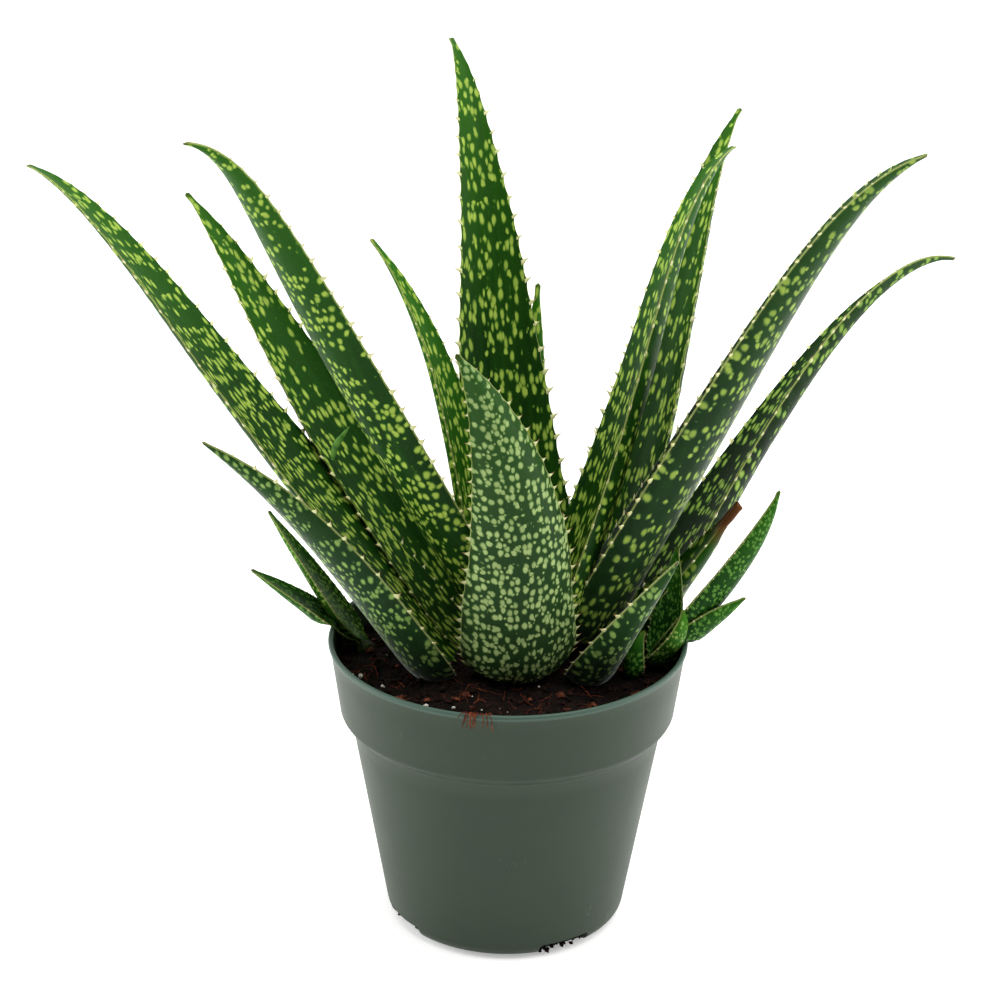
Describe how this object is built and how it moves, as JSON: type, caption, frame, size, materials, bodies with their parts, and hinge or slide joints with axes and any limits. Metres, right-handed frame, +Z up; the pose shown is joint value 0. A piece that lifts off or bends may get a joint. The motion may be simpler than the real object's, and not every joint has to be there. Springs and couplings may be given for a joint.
{
  "type": "potted aloe plant",
  "caption": "Spotted aloe rosette with toothed succulent leaves and young offsets, rooted in soil in a tapered plastic nursery pot with a rim band and drain slots.",
  "frame": {"origin": "centre of the pot's flat base, on the surface it stands on", "axes": "+Z up, +X to the viewer's right, -Y towards the viewer who faces the front leaf"},
  "size_m": [0.2936, 0.1864, 0.2648],
  "materials": {
    "pot_plastic": "grey-green moulded polypropylene, fine matt",
    "soil": "dark moist peat with fibres",
    "leaf": "dark green waxy leaf skin with pale elongated spots",
    "young_leaf": "bright green waxy leaf skin with pale dots",
    "stem": "pale green smooth stem",
    "perlite": "off-white expanded mineral grain",
    "bark": "red-brown broken bark"
  },
  "bodies": {
    "root": {"nursery_pot": "pot_plastic", "potting_soil": "soil", "crown_stem": "stem", "offset_left_stem": "stem", "offset_right_stem": "stem", "leaf_front": "leaf", "leaf_front_left": "leaf", "leaf_front_right": "leaf", "leaf_left_outer": "leaf", "leaf_right_outer": "leaf", "leaf_right_long": "leaf", "leaf_left_tall": "leaf", "leaf_withered": "leaf", "leaf_left_back": "leaf", "leaf_right_tall": "leaf", "leaf_right_back": "leaf", "leaf_centre_tall": "leaf", "leaf_young_left": "leaf", "leaf_young_back": "leaf", "offset_left_leaf_low": "young_leaf", "offset_left_leaf_side": "young_leaf", "offset_right_leaf_long": "young_leaf", "offset_right_leaf_low": "young_leaf", "offset_right_leaf_back": "young_leaf", "offset_right_leaf_short": "young_leaf", "offset_right_leaf_bud": "young_leaf", "perlite_grain_1": "perlite", "perlite_grain_2": "perlite", "perlite_grain_3": "perlite", "perlite_grain_4": "perlite", "perlite_grain_5": "perlite", "bark_chip_1": "bark", "bark_chip_2": "bark", "bark_chip_3": "bark"}
  },
  "joints": []
}
